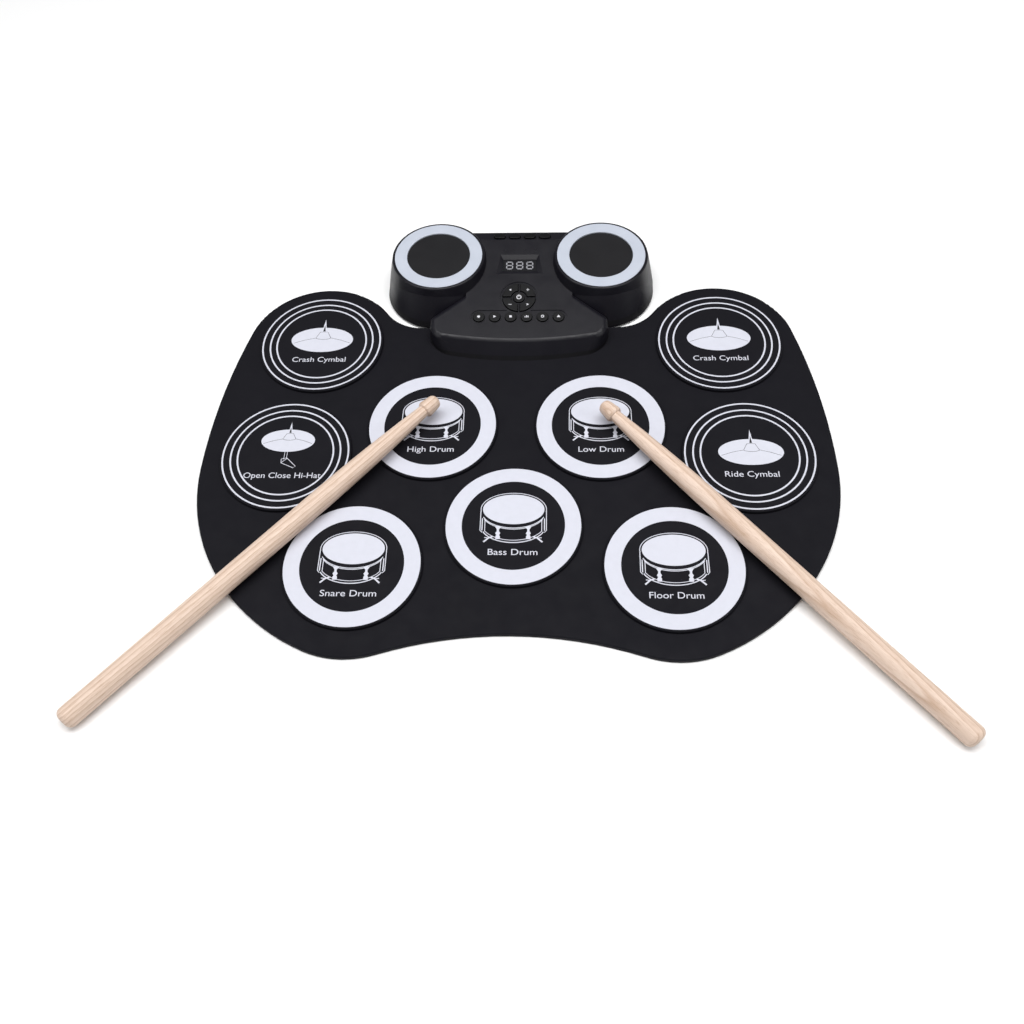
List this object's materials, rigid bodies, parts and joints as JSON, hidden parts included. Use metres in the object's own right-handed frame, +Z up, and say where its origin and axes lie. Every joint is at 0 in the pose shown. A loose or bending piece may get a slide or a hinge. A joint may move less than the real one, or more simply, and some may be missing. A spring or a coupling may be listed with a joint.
{
  "type": "electronic drum pad",
  "caption": "Roll-up silicone drum mat with round raised striking pads, a speaker console with keys and display at its rear, and wooden drumsticks lying on it.",
  "frame": {"origin": "on the centre line, on the underside of the mat, level with the middle of the mat between its front and rear lobes", "axes": "+X to the player's right, +Y away from the player towards the console, +Z up from the surface that the mat lies on"},
  "size_m": [0.5466, 0.4154, 0.0312],
  "materials": {
    "mat_rubber": "matte moulded silicone",
    "pad_rubber": "matte moulded silicone with printed marks",
    "film_plastic": "printed polyester film",
    "disc_foam": "thin dense foam",
    "shell_plastic": "fine satin moulded plastic",
    "lower_plastic": "satin moulded plastic",
    "trim_plastic": "translucent white plastic",
    "grille_cloth": "black speaker mesh",
    "key_rubber": "satin black rubber keys",
    "board_green": "solder mask over glass fibre",
    "display_plastic": "dark display block",
    "lamp_lens": "smoked lens",
    "basket_steel": "painted pressed steel",
    "cone_paper": "black paper cone",
    "magnet_ferrite": "ferrite",
    "battery_foil": "foil pouch",
    "jack_plastic": "black socket body",
    "usb_steel": "plated steel",
    "screw_steel": "zinc plated steel",
    "clamp_steel": "pressed steel",
    "foot_rubber": "soft rubber",
    "stick_wood": "pale sanded ash"
  },
  "bodies": {
    "drum_pad": {"battery": "battery_foil", "case_screws": "screw_steel", "clamp_plates": "clamp_steel", "clamp_screws": "screw_steel", "display": "display_plastic", "indicator_lamps": "lamp_lens", "jack_1": "jack_plastic", "jack_2": "jack_plastic", "jack_3": "jack_plastic", "jack_4": "jack_plastic", "key_mat": "disc_foam", "left_grille": "grille_cloth", "left_speaker_basket": "basket_steel", "left_speaker_cone": "cone_paper", "left_speaker_magnet": "magnet_ferrite", "left_trim_ring": "trim_plastic", "lower_shell": "lower_plastic", "main_board": "board_green", "mat_backing": "mat_rubber", "mat_skin": "mat_rubber", "pad_bass": "pad_rubber", "pad_crash_left": "pad_rubber", "pad_crash_right": "pad_rubber", "pad_floor_tom": "pad_rubber", "pad_hi_hat": "pad_rubber", "pad_high_tom": "pad_rubber", "pad_low_tom": "pad_rubber", "pad_ride": "pad_rubber", "pad_snare": "pad_rubber", "panel_board": "board_green", "pressure_discs": "disc_foam", "rear_switch_board": "board_green", "right_grille": "grille_cloth", "right_speaker_basket": "basket_steel", "right_speaker_cone": "cone_paper", "right_speaker_magnet": "magnet_ferrite", "right_trim_ring": "trim_plastic", "rubber_feet": "foot_rubber", "sensor_film": "film_plastic", "upper_shell": "shell_plastic", "usb_socket": "usb_steel"},
    "centre_key_cap": {"centre_key": "key_rubber"},
    "quarter_key_1_cap": {"quarter_key_1": "key_rubber"},
    "quarter_key_2_cap": {"quarter_key_2": "key_rubber"},
    "quarter_key_3_cap": {"quarter_key_3": "key_rubber"},
    "quarter_key_4_cap": {"quarter_key_4": "key_rubber"},
    "rear_key_1_cap": {"rear_key_1": "key_rubber"},
    "rear_key_2_cap": {"rear_key_2": "key_rubber"},
    "rear_key_3_cap": {"rear_key_3": "key_rubber"},
    "rear_key_4_cap": {"rear_key_4": "key_rubber"},
    "row_key_1_cap": {"row_key_1": "key_rubber"},
    "row_key_2_cap": {"row_key_2": "key_rubber"},
    "row_key_3_cap": {"row_key_3": "key_rubber"},
    "row_key_4_cap": {"row_key_4": "key_rubber"},
    "row_key_5_cap": {"row_key_5": "key_rubber"},
    "row_key_6_cap": {"row_key_6": "key_rubber"},
    "left_drumstick_body": {"left_drumstick": "stick_wood"},
    "right_drumstick_body": {"right_drumstick": "stick_wood"}
  },
  "joints": [
    {"name": "centre_key_press", "type": "slide", "parent": "drum_pad", "child": "centre_key_cap", "axis": [0, 0.1564, -0.9877], "range_m": [0, 0.001], "stiffness_N_per_m": 600},
    {"name": "quarter_key_1_press", "type": "slide", "parent": "drum_pad", "child": "quarter_key_1_cap", "axis": [0, 0.1564, -0.9877], "range_m": [0, 0.001], "stiffness_N_per_m": 600},
    {"name": "quarter_key_2_press", "type": "slide", "parent": "drum_pad", "child": "quarter_key_2_cap", "axis": [0, 0.1564, -0.9877], "range_m": [0, 0.001], "stiffness_N_per_m": 600},
    {"name": "quarter_key_3_press", "type": "slide", "parent": "drum_pad", "child": "quarter_key_3_cap", "axis": [0, 0.1564, -0.9877], "range_m": [0, 0.001], "stiffness_N_per_m": 600},
    {"name": "quarter_key_4_press", "type": "slide", "parent": "drum_pad", "child": "quarter_key_4_cap", "axis": [0, 0.1564, -0.9877], "range_m": [0, 0.001], "stiffness_N_per_m": 600},
    {"name": "rear_key_1_press", "type": "slide", "parent": "drum_pad", "child": "rear_key_1_cap", "axis": [0, 0, -1], "range_m": [0, 0.001], "stiffness_N_per_m": 600},
    {"name": "rear_key_2_press", "type": "slide", "parent": "drum_pad", "child": "rear_key_2_cap", "axis": [0, 0, -1], "range_m": [0, 0.001], "stiffness_N_per_m": 600},
    {"name": "rear_key_3_press", "type": "slide", "parent": "drum_pad", "child": "rear_key_3_cap", "axis": [0, 0, -1], "range_m": [0, 0.001], "stiffness_N_per_m": 600},
    {"name": "rear_key_4_press", "type": "slide", "parent": "drum_pad", "child": "rear_key_4_cap", "axis": [0, 0, -1], "range_m": [0, 0.001], "stiffness_N_per_m": 600},
    {"name": "row_key_1_press", "type": "slide", "parent": "drum_pad", "child": "row_key_1_cap", "axis": [0, 0.1564, -0.9877], "range_m": [0, 0.001], "stiffness_N_per_m": 600},
    {"name": "row_key_2_press", "type": "slide", "parent": "drum_pad", "child": "row_key_2_cap", "axis": [0, 0.1564, -0.9877], "range_m": [0, 0.001], "stiffness_N_per_m": 600},
    {"name": "row_key_3_press", "type": "slide", "parent": "drum_pad", "child": "row_key_3_cap", "axis": [0, 0.1564, -0.9877], "range_m": [0, 0.001], "stiffness_N_per_m": 600},
    {"name": "row_key_4_press", "type": "slide", "parent": "drum_pad", "child": "row_key_4_cap", "axis": [0, 0.1564, -0.9877], "range_m": [0, 0.001], "stiffness_N_per_m": 600},
    {"name": "row_key_5_press", "type": "slide", "parent": "drum_pad", "child": "row_key_5_cap", "axis": [0, 0.1564, -0.9877], "range_m": [0, 0.001], "stiffness_N_per_m": 600},
    {"name": "row_key_6_press", "type": "slide", "parent": "drum_pad", "child": "row_key_6_cap", "axis": [0, 0.1564, -0.9877], "range_m": [0, 0.001], "stiffness_N_per_m": 600},
    {"name": "left_drumstick_lift", "type": "slide", "parent": "drum_pad", "child": "left_drumstick_body", "axis": [0, 0, 1], "range_m": [0, 0.12]},
    {"name": "right_drumstick_lift", "type": "slide", "parent": "drum_pad", "child": "right_drumstick_body", "axis": [0, 0, 1], "range_m": [0, 0.12]}
  ]
}
